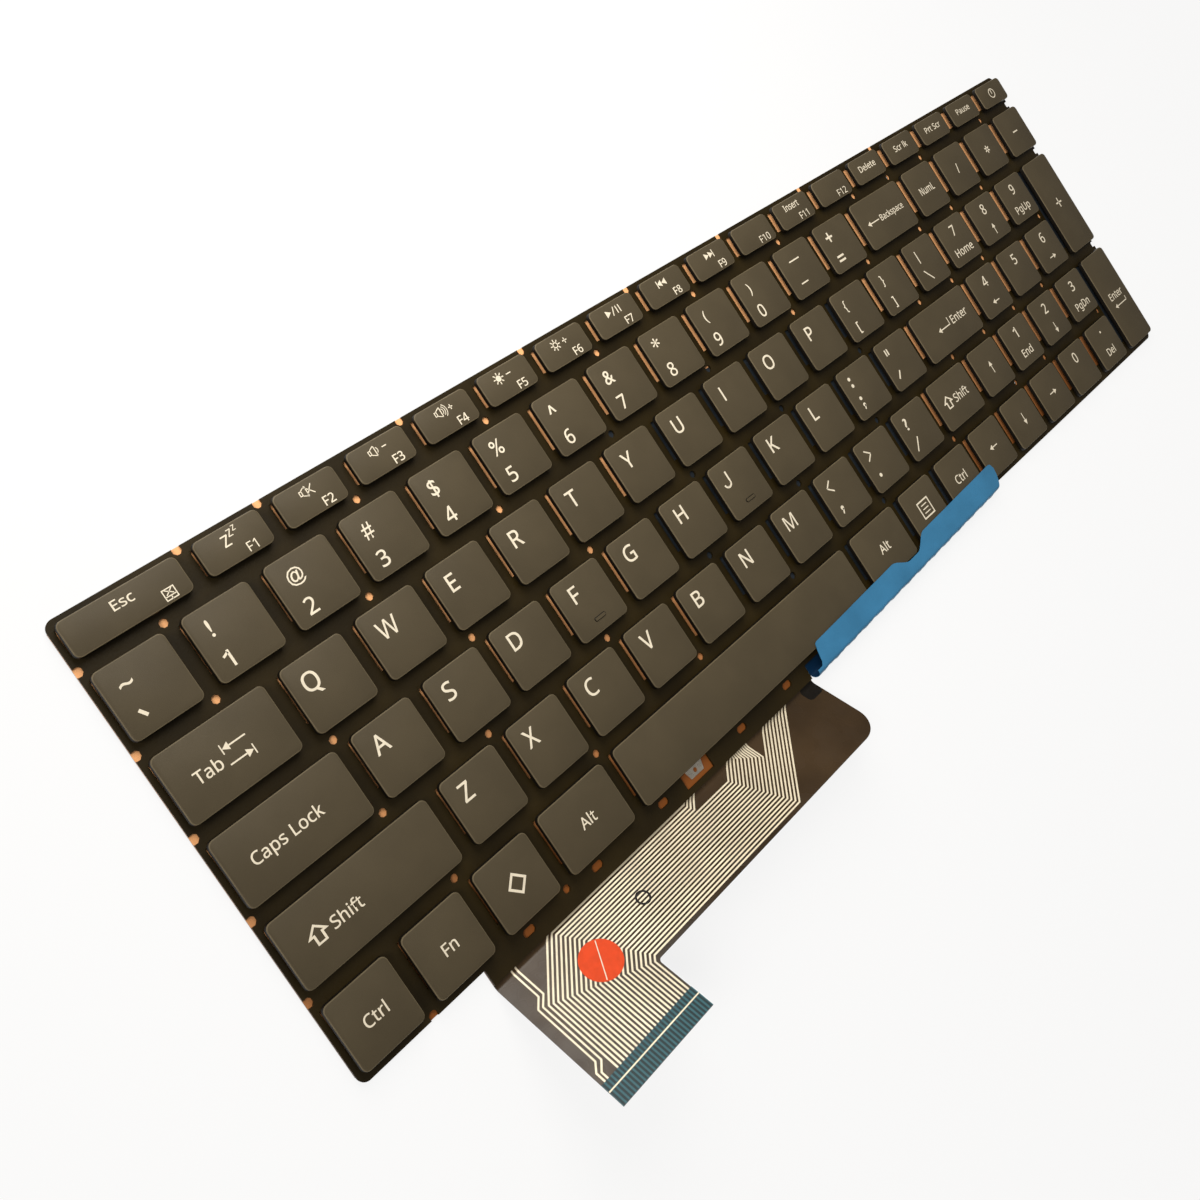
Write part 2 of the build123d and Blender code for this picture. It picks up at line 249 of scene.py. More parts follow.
def graded(name, rear, front, dark):
    """A finish graded from the rear of the keyboard to the front, its front tone a painted shade of the rear
    one, and dark behind the tall keys.
    """
    coat, place = surface(name, rough=(0.3, 0.45), grain=900.0, bump=0.05)
    tree = coat.node_tree
    axes = add(tree, "SeparateXYZ", place).outputs
    depth = add(tree, "MapRange", Value=axes["Y"], From_Min=cad_low.y * 0.6, From_Max=cad_high.y * 0.2)
    # Painted shade: the tone darkens from the rear towards the front
    ramp = ramp_between(tree, depth.outputs["Result"], 0, front, 1, rear)
    tall = [(low, high) for low, high in solids_of("pad_keys") if high.y - low.y > TALL_KEY]
    left = min(low.x for low, high in tall) - 0.3 * MM
    edge = max(high.y for low, high in tall) + MM
    beside = reckon(tree, "GREATER_THAN", axes["X"], left)
    before = reckon(tree, "LESS_THAN", axes["Y"], edge)
    field = reckon(tree, "MULTIPLY", beside, before)
    mix = add(tree, "MixRGB", Fac=field, Color1=ramp.outputs["Color"], Color2=(*dark, 1))
    return colour_from(coat, mix)


recipes = {
    "cap_top": ("top", 1.06, 0.94, 90, (0.42, 0.6), 5200, 0.22),
    # The rim finish is paler than the top as a painted highlight
    "cap_rim": ("rim", 1.1, 0.85, 200, (0.4, 0.55), 5200, 0.1),
    # Black plastic of the cap sides, darkened further as painted shade
    "cap_side": ("side", 1.2, 0.8, 120, (0.35, 0.5), 4200, 0.1),
    "print": ("ink", 1, 0.9, 700, (0.5, 0.7), 6000, 0.1),
    "plate": ("plate", 1.25, 0.8, 70, (0.45, 0.65), 2600, 0.25),
    "film": ("film", 1.5, 0.8, 45, (0.2, 0.34), 160, 0.3, 0.0, 0.3),
    "track": ("track", 1, 0.85, 130, (0.28, 0.45), 3000, 0.1, 0.15, 0.4),
    # Dark finish of the printed marks on the tail, also used as the painted shadow round the homing bars
    "mark": ("side", 1.2, 0.7, 200, (0.3, 0.5), 3000, 0.1),
    "sticker": ("sticker", 1, 0.88, 500, (0.5, 0.65), 2500, 0.15),
    "liner": ("liner", 1.12, 0.86, 60, (0.22, 0.36), 260, 0.12),
    # The inner side of the liner, darkened as painted shade
    "inside": ("inside", 1.2, 0.8, 60, (0.3, 0.45), 260),
    # The liner behind the plate, darkened as painted shade
    "behind": ("shadow", 1.3, 0.7, 60, (0.25, 0.4), 260),
    "metal": ("metal", 1, 0.8, 900, (0.25, 0.4), 3000, 0.1, 0.9, 0.5),
    "rubber": ("rubber", 1.3, 1, 200, (0.6, 0.75), 2500, 0.1),
    "frame": ("side", 4, 2.5, 200, (0.4, 0.55), 3000, 0.1),
}
made = {}


def material(name):
    """One of the keyboard's finishes, made the first time it is asked for."""
    if name not in made:
        tones = bpy.context.scene.keyboard_colours
        if name == "amber":
            made[name] = graded(name, tones.amber, tones.amber_painted_shade, tones.shadow)
        elif name == "teal":
            period = the_sizes().pitch
            made[name] = striped(name, shade(tones.teal, 2.4), shade(tones.teal, 0.5), period)
        else:
            key, pale, dark, *rest = recipes[name]
            colour = getattr(tones, key)
            made[name] = finish(name, shade(colour, pale), shade(colour, dark), *rest)
    return made[name]


# Modelling helpers


def clear():
    """Leave nothing selected."""
    bpy.ops.object.select_all(action="DESELECT")


def new_plane():
    """A plane one metre wide at the origin, on its own selected."""
    clear()
    bpy.ops.mesh.primitive_plane_add(size=1)
    return bpy.context.object


def flat_disc(sides, radius):
    """A flat disc at the origin, on its own selected."""
    clear()
    bpy.ops.mesh.primitive_circle_add(vertices=sides, radius=radius, fill_type="NGON")
    return bpy.context.object


def flat_ring(sides, radius, width):
    """A flat ring at the origin."""
    ring = flat_disc(sides, radius)
    pick(ring, "FACE", lambda centre, normal: True)
    bpy.ops.mesh.inset(thickness=width)
    bpy.ops.mesh.delete(type="FACE")
    leave_edit()
    return ring


def edit_all():
    """Go to edit mode with everything selected."""
    bpy.ops.object.mode_set(mode="EDIT")
    bpy.ops.mesh.select_all(action="SELECT")


def leave_edit():
    """Go back to object mode."""
    bpy.ops.object.mode_set(mode="OBJECT")


def bevel(offset, segments):
    """Round the selected edges."""
    bpy.ops.mesh.bevel(offset=offset, segments=segments, affect="EDGES")


def extrude(way):
    """Draw the selection out along a way."""
    bpy.ops.mesh.extrude_region_move(TRANSFORM_OT_translate={"value": way})


def stretch(shares, centre=(0, 0, 0)):
    """Scale the selection about a point."""
    bpy.ops.transform.resize(value=shares, center_override=centre)


def pick(piece, kind, test):
    """In edit mode, select the corners, edges or faces of a piece that pass a test on their places."""
    bpy.ops.object.mode_set(mode="EDIT")
    bpy.ops.mesh.select_mode(type=kind)
    bpy.ops.mesh.select_all(action="DESELECT")
    leave_edit()
    data = piece.data
    if kind == "FACE":
        for face in data.polygons:
            face.select = test(face.center, face.normal)
    elif kind == "EDGE":
        for edge in data.edges:
            a, b = (data.vertices[i].co for i in edge.vertices)
            edge.select = test(a, b)
    else:
        for corner in data.vertices:
            corner.select = test(corner.co)
    bpy.ops.object.mode_set(mode="EDIT")


def dress(piece, *names):
    """Give a piece its finishes, the first one all over."""
    piece.data.materials.clear()
    for name in names:
        piece.data.materials.append(material(name))


def copy_of(blank, place, name):
    """A copy of a modelled blank with its own mesh, set in its place."""
    piece = bpy.data.objects.new(name, blank.data.copy())
    bpy.context.scene.collection.objects.link(piece)
    piece.data.transform(place)
    return piece


def join(pieces, name):
    """Several pieces made one, with the first one's origin."""
    clear()
    for piece in pieces:
        piece.select_set(True)
    bpy.context.view_layer.objects.active = pieces[0]
    if len(pieces) > 1:
        bpy.ops.object.join()
    pieces[0].name = name
    pieces[0].data.name = name
    return pieces[0]


def select_only(piece):
    """Select one piece on its own."""
    clear()
    piece.select_set(True)
    bpy.context.view_layer.objects.active = piece


def apply_modifiers(piece):
    """Apply every modifier of a piece."""
    select_only(piece)
    for modifier in list(piece.modifiers):
        bpy.ops.object.modifier_apply(modifier=modifier.name)


def ease(piece, angle=35):
    """Smooth shading with the sharper edges kept."""
    select_only(piece)
    bpy.ops.object.shade_smooth_by_angle(angle=radians(angle))


def middle_of(low, high):
    """The middle of a box in plan."""
    return (low.x + high.x) / 2, (low.y + high.y) / 2


def solids_of(node):
    """Boxes of the separate solids of a node, from the rear row forwards and from left to right."""
    data = frame["nodes"][node].data
    keys = [tuple(round(x, 6) for x in v.co) for v in data.vertices]
    root = {key: key for key in keys}

    def top(key):
        while root[key] != key:
            root[key] = root[root[key]]
            key = root[key]
        return key

    for edge in data.edges:
        a, b = (top(keys[i]) for i in edge.vertices)
        root[a] = b
    groups = {}
    for key in root:
        groups.setdefault(top(key), []).append(key)
    boxes = []
    for points in groups.values():
        low = Vector(min(p[i] for p in points) for i in range(3))
        high = Vector(max(p[i] for p in points) for i in range(3))
        boxes.append((low, high))
    return sorted(boxes, key=lambda box: (-round(box[1].y, 4), box[0].x))


# Print on the caps

# Height of a capital in the sans alphabet and of a sign in the plain one, for a text of size one
SANS_HEIGHT = 0.714
SIGN_HEIGHT = 0.682
# How far the outline of a letter is drawn out for its usual and its light weight
WEIGHT, LIGHT = 0.008, 0.004


def sans(body):
    """The same words in the plain sans alphabet."""
    starts = (("A", "Z", 0x1D5A0), ("a", "z", 0x1D5BA), ("0", "9", 0x1D7E2))
    signs = ""
    for sign in body:
        for first, last, start in starts:
            if first <= sign <= last:
                sign = chr(start + ord(sign) - ord(first))
                break
        signs += sign
    return signs


class Print:
    """The marks of one cap, placed in millimetres from the left and rear edges of its top."""

    def __init__(self, low, high):
        sizes = the_sizes()
        self.left, self.rear, self.top = low.x, high.y, high.z + sizes.ink
        self.wide = (high.x - low.x) / MM
        self.stroke = sizes.stroke / MM
        self.marks = []

    def lay(self, mark, x, y, turn=0.0, scale=(1.0, 1.0)):
        """Set a flat mark in its place on the cap."""
        place = Matrix.Translation((self.left + x * MM, self.rear - y * MM, self.top))
        place = place @ Matrix.Rotation(radians(turn), 4, "Z") @ Matrix.Diagonal((*scale, 1, 1))
        mark.data.transform(place)
        mark.data.update()
        if mark.data.polygons[0].normal.z < 0:
            mark.data.flip_normals()
        dress(mark, "print")
        self.marks.append(mark)

    def text(self, body, height, x, y, spread=1.0, align="CENTER", weight=WEIGHT):
        """Words or a letter, centred at x or starting there and with its middle at y, of the given height."""
        clear()
        bpy.ops.object.text_add()
        mark = bpy.context.object
        mark.data.body = sans(body)
        mark.data.align_x = align
        mark.data.resolution_u = 3
        mark.data.offset = weight
        bpy.ops.object.convert(target="MESH")
        mark = bpy.context.object
        scale = height * MM / (SANS_HEIGHT if body.replace(" ", "").isalnum() else SIGN_HEIGHT)
        self.lay(mark, x, y + height / 2, 0.0, (scale * spread, scale))

    def bar(self, x, y, width, height, turn=0.0):
        """A filled bar."""
        self.lay(new_plane(), x, y, turn, (width * MM, height * MM))

    def blob(self, x, y, radius, sides=16, turn=0.0):
        """A filled disc, or with three sides a triangle pointing up."""
        self.lay(flat_disc(sides, 1), x, y, turn, (radius * MM, radius * MM))

    def ring(self, x, y, radius, sides=24, turn=0.0, width=None):
        """A ring of one stroke, or with four sides a diamond."""
        mark = flat_ring(sides, 1, (width or self.stroke) / radius)
        self.lay(mark, x, y, turn, (radius * MM, radius * MM))

    def box(self, x, y, width, height, stroke=None):
        """An upright box of one stroke."""
        t = stroke or self.stroke
        for side in (-1, 1):
            self.bar(x + side * (width - t) / 2, y, t, height)
            self.bar(x, y + side * (height - t) / 2, width - 2 * t, t)

    def arrow(self, x, y, length, turn):
        """A straight arrow centred at x and y; turn 0 points right."""
        along = (cos(radians(turn)), -sin(radians(turn)))
        head = 1.5
        shaft = length - head
        self.bar(x - along[0] * head / 2, y - along[1] * head / 2, shaft, self.stroke, turn)
        radius = head * 0.66
        tip = length / 2 - radius
        self.blob(x + along[0] * tip, y + along[1] * tip, radius, 3, turn - 90)

    def speaker(self, x, y):
        """A loudspeaker in outline."""
        self.box(x - 0.75, y, 0.75, 1.15, 0.2)
        for side in (-1, 1):
            self.bar(x + 0.1, y + side * 0.87, 1.35, 0.2, -27 * side)
        self.bar(x + 0.7, y, 0.22, 2.3)

    def arc(self, x, y, radius, start, end, width):
        """An arc about a point, as short straight strokes."""
        count = 8
        step = (end - start) / count
        for place in range(count):
            turn = start + (place + 0.5) * step
            a = radians(turn)
            length = radius * radians(abs(step)) * 1.1
            self.bar(x + radius * cos(a), y - radius * sin(a), width, length, turn)

    def sign(self, sign, y, shift=0.0):
        """A digit or sign of the number row with its middle at y."""
        height = the_sizes().sign / MM
        if sign in drawn_signs:
            bars, dots = drawn_signs[sign]
            for x, down, length, width, turn in bars:
                self.bar(x + shift, y + down, length, width, turn)
            for x, down, radius in dots:
                self.blob(x + shift, y + down, radius)
        else:
            scale, x, spread = text_signs.get(sign, (1.0, 3.2, 1.0))
            weight = LIGHT if sign in "#$%&@*" else WEIGHT
            self.text(sign, height * scale, x + shift, y, spread, "LEFT", weight)

    def sun(self, x, y, open_disc):
        """A sun with eight rays."""
        disc, ray = 0.75, 1.18
        if open_disc:
            self.ring(x, y, disc, 16, 0, 0.22)
        else:
            self.blob(x, y, disc)
        for step in range(8):
            a = step * pi / 4
            self.bar(x + ray * cos(a), y - ray * sin(a), 0.62, 0.26, step * 45)


# Lines of print on a cap, from its rear edge, and the left edge of its letters
UPPER, MIDDLE, LOWER = 4.5, 7.7, 11.35
LETTER_LEFT = 3.1
TOP_LETTERS, OTHER_LETTERS = 5.15, 4.7

letter_rows = ("qwertyuiop", "asdfghjkl", "zxcvbnm")
letter_shift = {"q": -0.5, "m": -0.6, "f": 0.5, "v": 0.5, "y": 0.5, "p": 0.4}
pairs = {
    "grave": "~`",
    "n1": "!1", "n2": "@2", "n3": "#3", "n4": "$4", "n5": "%5",
    "n6": "^6", "n7": "&7", "n8": "*8", "n9": "(9", "n0": ")0",
    "minus": "_-", "equals": "+=", "bracket_left": "{[", "bracket_right": "}]",
    "backslash": "|\\", "semicolon": ":;", "quote": "\"'",
    "comma": "<,", "period": ">.", "slash": "?/",
}
# Signs set in type: scale, left edge and spread
text_signs = {
    "@": (0.8, 3.2, 1.0), "#": (1.0, 3.7, 0.85), "*": (1.1, 3.2, 1.1),
    "+": (1.2, 3.2, 1.0), "=": (1.2, 3.2, 1.0), "(": (0.76, 4.0, 1.0), ")": (0.76, 4.3, 1.0),
    "{": (0.76, 3.6, 1.0), "}": (0.76, 4.0, 1.0), "[": (0.76, 3.9, 1.0), "]": (0.76, 4.0, 1.0),
    "|": (0.85, 4.2, 1.0), "?": (1.0, 3.2, 1.3), "!": (1.0, 3.4, 1.0),
}
# Signs drawn one by one: bars by place, length, width and turn, then dots by place and radius
drawn_signs = {
    "1": ([(4.45, 0, 3.5, 0.55, 90), (3.75, -1.0, 1.4, 0.5, 24)], []),
    "`": ([(4.35, -0.35, 1.9, 0.7, -56)], []),
    "_": ([(6.7, 0, 4.5, 0.38, 0)], []),
    "-": ([(5.75, 0, 3.1, 0.38, 0)], []),
    "<": ([(4.2, -0.95, 2.6, 0.4, 38), (4.2, 0.65, 2.6, 0.4, -38)], []),
    ">": ([(4.1, -0.95, 2.6, 0.4, -38), (4.1, 0.65, 2.6, 0.4, 38)], []),
    ",": ([(4.1, 0.3, 1.5, 0.45, 62)], [(4.2, -0.6, 0.6)]),
    ".": ([], [(4.1, -0.55, 0.55)]),
    ":": ([], [(4.1, -1.3, 0.55), (4.1, 0.8, 0.55)]),
    ";": ([(4.1, 0.65, 1.4, 0.42, 62)], [(4.15, -2.0, 0.55), (4.15, 0, 0.55)]),
    "\"": ([(3.6, -0.9, 1.9, 0.5, 90), (4.6, -0.9, 1.9, 0.5, 90)], []),
    "'": ([(4.0, -0.5, 2.7, 0.5, 52)], []),
    "\\": ([(5.3, -0.15, 4.5, 0.4, -53)], []),
    "/": ([(4.3, -0.4, 4.5, 0.42, 54)], []),
}
pad_words = {"pad_7": "Home", "pad_9": "PgUp", "pad_1": "End", "pad_3": "PgDn"}
pad_arrows = {"pad_8": 90, "pad_4": 180, "pad_6": 0, "pad_2": -90}
centred = {"ctrl_left": "Ctrl", "fn": "Fn", "alt_left": "Alt", "alt_right": "Alt", "ctrl_right": "Ctrl"}
small_words = {"delete": "Delete", "scroll": "Scr lk", "print": "Prt Scr", "pause": "Pause"}


def letter_marks(ink, name):
    """One letter; the two that the type draws badly are made of bars."""
    height = the_sizes().letter / MM
    y = TOP_LETTERS if name in letter_rows[0] else OTHER_LETTERS
    if name == "i":
        ink.bar(4.25, y, 0.55, height)
    elif name == "j":
        hook = 1.15
        ink.bar(5.15, y - 0.55, 0.52, height - 1.1)
        ink.arc(4.0, y + height / 2 - hook, hook, 0, -170, 0.52)
    else:
        weight = 0 if name in "mw" else WEIGHT
        x = LETTER_LEFT + letter_shift.get(name, 0)
        ink.text(name.upper(), height, x, y, align="LEFT", weight=weight)


def function_marks(ink, name, small):
    """The number and the picture of a function key."""
    ink.text(name.upper(), 2.0, 10.8, 6.2, weight=0 if "1" in name else WEIGHT)
    if name == "f1":
        for height, x, y in ((2.3, 6.5, 2.95), (1.5, 8.0, 1.85), (1.1, 9.2, 1.3)):
            ink.text("Z", height, x, y)
    elif name in ("f2", "f3", "f4"):
        y = 2.5
        ink.speaker(6.9 if name == "f2" else 6.2, y)
        if name == "f2":
            ink.bar(8.2, y, 2.9, 0.22, 48)
            ink.bar(8.2, y, 2.9, 0.22, -48)
        for step in range({"f2": 0, "f3": 1, "f4": 3}[name]):
            ink.arc(6.8, y, 0.75 + 0.5 * step, -54, 54, 0.2)
        if name == "f3":
            ink.bar(9.3, y, 1.2, 0.25)
        elif name == "f4":
            ink.bar(9.7, y, 1.2, 0.25)
            ink.bar(9.7, y, 0.25, 1.2)
    elif name in ("f5", "f6"):
        y = 2.6
        ink.sun(5.75, y, name == "f6")
        ink.bar(8.85, y, 1.45, 0.25)
        if name == "f6":
            ink.bar(8.85, y, 0.25, 1.45)
    elif name == "f7":
        y = 2.6
        ink.blob(5.6, y, 1.1, 3, -90)
        ink.bar(7.6, y, 2.4, 0.28, 65)
        ink.bar(8.9, y, 0.3, 2.0)
        ink.bar(9.9, y, 0.3, 2.0)
    elif name in ("f8", "f9"):
        x, y = 7.6, 2.6
        way = 1 if name == "f9" else -1
        for step in (-0.9, 0.75):
            ink.blob(x + step, y, 1.05, 3, -90 * way)
        ink.bar(x + way * 1.9, y, 0.3, 2.1)
    elif name == "f11":
        ink.text("Insert", small, ink.wide / 2 - 0.2, 2.3, 0.9)


def pad_marks(ink, name, word):
    """The print of a key of the number pad."""
    mid = ink.wide / 2
    if name == "pad_lock":
        ink.text("NumL", 2.35, mid, 7.8, 0.85)
    elif name == "pad_point":
        ink.blob(mid, 3.6, 0.4, 12)
        ink.text("Del", word, mid, 10.6)
    elif name == "pad_slash":
        ink.text("/", 3.0, mid, 7.6)
    elif name == "pad_star":
        for turn in (90, 30, -30):
            ink.bar(mid, 7.6, 2.6, 0.45, turn)
    elif name == "pad_minus":
        ink.bar(mid, 7.6, 2.8, 0.45)
    elif name == "pad_plus":
        ink.bar(mid, 16.8, 3.4, 0.5)
        ink.bar(mid, 16.8, 0.5, 3.4)
    elif name == "pad_enter":
        ink.text("Enter", word, mid, 15.9)
        ink.arrow(mid + 0.2, 19.6, 8.0, 180)
        ink.bar(mid + 4.1, 19.0, 0.3, 1.5)
    else:
        if name == "pad_1":
            ink.sign("1", 4.3, mid - 4.3)
        else:
            ink.text(name[-1], 3.3, mid, 4.3)
        if name in pad_words:
            ink.text(pad_words[name], word, mid, 11.1)
        if name in pad_arrows:
            ink.arrow(mid, 11.3, 3.7, pad_arrows[name])


def print_marks(name, low, high):
    """The print of one key."""
    sizes = the_sizes()
    ink = Print(low, high)
    mid, word, small = ink.wide / 2, sizes.word / MM, sizes.small / MM
    if any(name in row for row in letter_rows if len(name) == 1):
        letter_marks(ink, name)
    elif name in pairs:
        upper, lower = pairs[name]
        ink.sign(upper, UPPER)
        ink.sign(lower, LOWER)
    elif name in centred:
        ink.text(centred[name], word, mid, 7.8)
    elif name in small_words:
        ink.text(small_words[name], small, mid, 3.6, 1.08)
    elif name.startswith("pad_"):
        pad_marks(ink, name, word)
    elif name == "esc":
        ink.text("Esc", 2.0, mid - 0.3, 2.7, 1.15)
        x = 20.7
        ink.box(x, 6.05, 2.7, 2.4, 0.22)
        ink.bar(x, 5.65, 1.9, 0.2, 36)
        ink.bar(x, 5.65, 1.9, 0.2, -36)
        ink.bar(x, 6.45, 2.4, 0.2)
        ink.bar(x, 6.85, 0.2, 0.7)
    elif name == "tab":
        ink.text("Tab", word, 8.0, 8.0)
        ink.bar(12.0, 6.2, 0.25, 2.1)
        ink.arrow(14.7, 6.2, 5.2, 180)
        ink.arrow(14.5, 9.5, 5.2, 0)
        ink.bar(17.3, 9.5, 0.25, 2.1)
    elif name == "caps":
        ink.text("Caps Lock", word, 13.2, MIDDLE)
    elif name in ("shift_left", "shift_right"):
        x = 7.5 if name == "shift_left" else 5.8
        ink.text("⇧", 3.4, x, MIDDLE, 1.1)
        ink.text("Shift", word, x + 6.6, 7.8)
    elif name == "enter":
        ink.arrow(12.6, 8.2, 6.2, 180)
        ink.bar(15.8, 7.1, 0.3, 2.4)
        ink.text("Enter", word, 21.3, 7.5)
    elif name == "backspace":
        ink.arrow(6.3, MIDDLE, 5.8, 180)
        ink.text("Backspace", small, 16.0, MIDDLE, 0.95)
    elif name == "system":
        ink.ring(mid, 7.6, 2.6, 4, 0, 0.55)
    elif name == "menu":
        ink.box(mid, 7.5, 5.3, 5.1, 0.42)
        for step in (-1, 0, 1):
            ink.bar(mid, 7.5 + step * 1.15, 2.6, 0.3)
    elif name in ("up", "left", "down", "right"):
        ink.arrow(mid, MIDDLE, 3.9, {"up": 90, "left": 180, "down": -90, "right": 0}[name])
    elif name == "power":
        ink.ring(mid, 3.9, 1.7)
        ink.bar(mid, 3.3, 0.35, 1.8)
    elif name[0] == "f":
        function_marks(ink, name, small)
    return ink.marks


# Keycaps

# Section of a homing bar, its rounding and its place from the rear edge of its cap
HOMING_WIDTH, HOMING_HEIGHT = 1.05 * MM, 0.36 * MM
HOMING_CORNER, HOMING_RIM = 0.4 * MM, 0.17 * MM
HOMING_PLACE = 12.1 * MM

blanks = {}


def cap_blank(low, high):
    """A keycap about the middle of its foot, with an eased rim, and a hollow and a post below."""
    width, depth, height = (round(x, 6) for x in high - low)
    if (width, depth) in blanks:
        return blanks[width, depth]
    sizes = the_sizes()
    clear()
    bpy.ops.mesh.primitive_cube_add(size=1, location=(0, 0, 0))
    cap = bpy.context.object
    edit_all()
    bpy.ops.transform.translate(value=(0, 0, 0.5))
    stretch((width, depth, height))
    pick(cap, "EDGE", lambda a, b: abs(a.z - b.z) > height / 2)
    bevel(sizes.corner, 5)
    pick(cap, "VERT", lambda co: co.z > height / 2)
    drawn = (1 - 2 * sizes.draw / width, 1 - 2 * sizes.draw / depth, 1)
    stretch(drawn, (0, 0, height))
    pick(cap, "EDGE", lambda a, b: min(a.z, b.z) > height / 2)
    bevel(sizes.rim, 2)
    pick(cap, "FACE", lambda centre, normal: normal.z < -0.9)
    bpy.ops.mesh.inset(thickness=sizes.wall)
    extrude((0, 0, sizes.hollow))
    bpy.ops.mesh.inset(thickness=sizes.wall / 8)
    inner = (sizes.post / (width - 2 * sizes.wall), sizes.post / (depth - 2 * sizes.wall), 1)
    stretch(inner, (0, 0, sizes.hollow))
    extrude((0, 0, -sizes.hollow))
    leave_edit()
    # The sides keep the first finish: black plastic darkened as painted shade
    dress(cap, "cap_side", "cap_top", "cap_rim")
    for face in cap.data.polygons:
        if face.normal.z > 0.97 and face.center.z > height * 0.9:
            face.material_index = 1
        # The eased rim takes the paler finish, a painted highlight
        elif face.normal.z > 0.15 and face.center.z > height * 0.7:
            face.material_index = 2
    ease(cap)
    cap.hide_render = True
    blanks[width, depth] = cap
    return cap


def homing_bar(low, high):
    """The raised bar on a home key, with a painted shadow on its sloped sides round its foot."""
    sizes = the_sizes()
    clear()
    bpy.ops.mesh.primitive_cube_add(size=1)
    bar = bpy.context.object
    edit_all()
    stretch((sizes.homing, HOMING_WIDTH, HOMING_HEIGHT))
    pick(bar, "EDGE", lambda a, b: abs(a.z - b.z) > HOMING_HEIGHT / 3)
    bevel(HOMING_CORNER, 3)
    pick(bar, "EDGE", lambda a, b: min(a.z, b.z) > HOMING_HEIGHT / 3)
    bevel(HOMING_RIM, 2)
    leave_edit()
    # The sloped sides take the dark finish as a painted shadow round the bar; the flat top takes the cap's
    # top finish
    dress(bar, "mark", "cap_top")
    for face in bar.data.polygons:
        face.material_index = int(face.normal.z > 0.99)
    bar.data.transform(Matrix.Translation(((low.x + high.x) / 2, high.y - HOMING_PLACE, high.z)))
    return bar


def printed_cap(key, low, high, name):
    """One finished cap with its print, in its place."""
    middle = Matrix.Translation((*middle_of(low, high), low.z))
    pieces = [copy_of(cap_blank(low, high), middle, name)]
    if key in ("f", "j"):
        pieces.append(homing_bar(low, high))
    return join(pieces + print_marks(key, low, high), name)


groups = {
    "function_keys": "esc f1 f2 f3 f4 f5 f6 f7 f8 f9 f10 f11 f12 delete scroll print pause power",
    "number_keys": "grave n1 n2 n3 n4 n5 n6 n7 n8 n9 n0 minus equals backspace",
    "arrow_keys": "up left down right",
    "pad_keys": "pad_lock pad_slash pad_star pad_minus pad_7 pad_8 pad_9 pad_plus pad_4 pad_5 pad_6 "
    "pad_1 pad_2 pad_3 pad_enter pad_0 pad_point",
}


def moving_keys():
    """Names of the keys that move, from their joints."""
    return [joint["name"].removeprefix("press_") for joint in frame["joints"]]


class KEYBOARD_OT_moving_caps(bpy.types.Operator):
    """Model the printed caps of the letter block"""

    bl_idname = "keyboard.moving_caps"
    bl_label = "Moving caps"

    def execute(self, context):
        for key in moving_keys():
            node = "key_" + key
            cap = printed_cap(key, *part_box(node), "cap_" + key)
            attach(cap, node)
            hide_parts(node)
        return {"FINISHED"}


class KEYBOARD_OT_fixed_caps(bpy.types.Operator):
    """Model the printed caps of the function row, number row, arrow keys and number pad"""

    bl_idname = "keyboard.fixed_caps"
    bl_label = "Fixed caps"

    def execute(self, context):
        for node, names in groups.items():
            boxes = solids_of(node)
            if len(boxes) != len(names.split()):
                raise RuntimeError(f"{node} has {len(boxes)} caps")
            caps = [printed_cap(key, *box, key) for key, box in zip(names.split(), boxes)]
            block = join(caps, node.removesuffix("_keys") + "_caps")
            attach(block, "chassis")
            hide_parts(node)
        return {"FINISHED"}


# Domes and folding frames

# Bar and thickness of a folding frame as shares of its width and height
FRAME_BAR, FRAME_THICK = 0.1, 0.26


def dome_blank(height):
    """A rubber dome about the middle of its foot, with a flared skirt and an eased crown."""
    sizes = the_sizes()
    clear()
    bpy.ops.mesh.primitive_cylinder_add(vertices=14, radius=sizes.foot, depth=height, location=(0, 0, 0))
    dome = bpy.context.object
    dome.data.transform(Matrix.Translation((0, 0, height / 2)))
    pick(dome, "FACE", lambda centre, normal: normal.z > 0.9)
    share = sizes.crown / sizes.foot
    stretch((share, share, 1), (0, 0, height))
    pick(dome, "EDGE", lambda a, b: min(a.z, b.z) > height / 2)
    bevel(sizes.crown * 0.25, 2)
    leave_edit()
    dress(dome, "rubber")
    ease(dome, 50)
    dome.hide_render = True
    return dome


def frame_blank(low, high):
    """A folding frame about the middle of its foot, leaning from the film up to the cap."""
    width, depth, height = high - low
    bar, thick = width * FRAME_BAR, height * FRAME_THICK
    ring = new_plane()
    edit_all()
    stretch((width, depth, 1))
    bpy.ops.mesh.inset(thickness=bar)
    bpy.ops.mesh.delete(type="FACE")
    bpy.ops.mesh.select_all(action="SELECT")
    extrude((0, 0, thick))
    bpy.ops.mesh.select_all(action="SELECT")
    bpy.ops.mesh.normals_make_consistent(inside=False)
    leave_edit()
    slope = (height - thick) / depth
    for corner in ring.data.vertices:
        corner.co.z += (corner.co.y + depth / 2) * slope
    dress(ring, "frame")
    ring.hide_render = True
    return ring


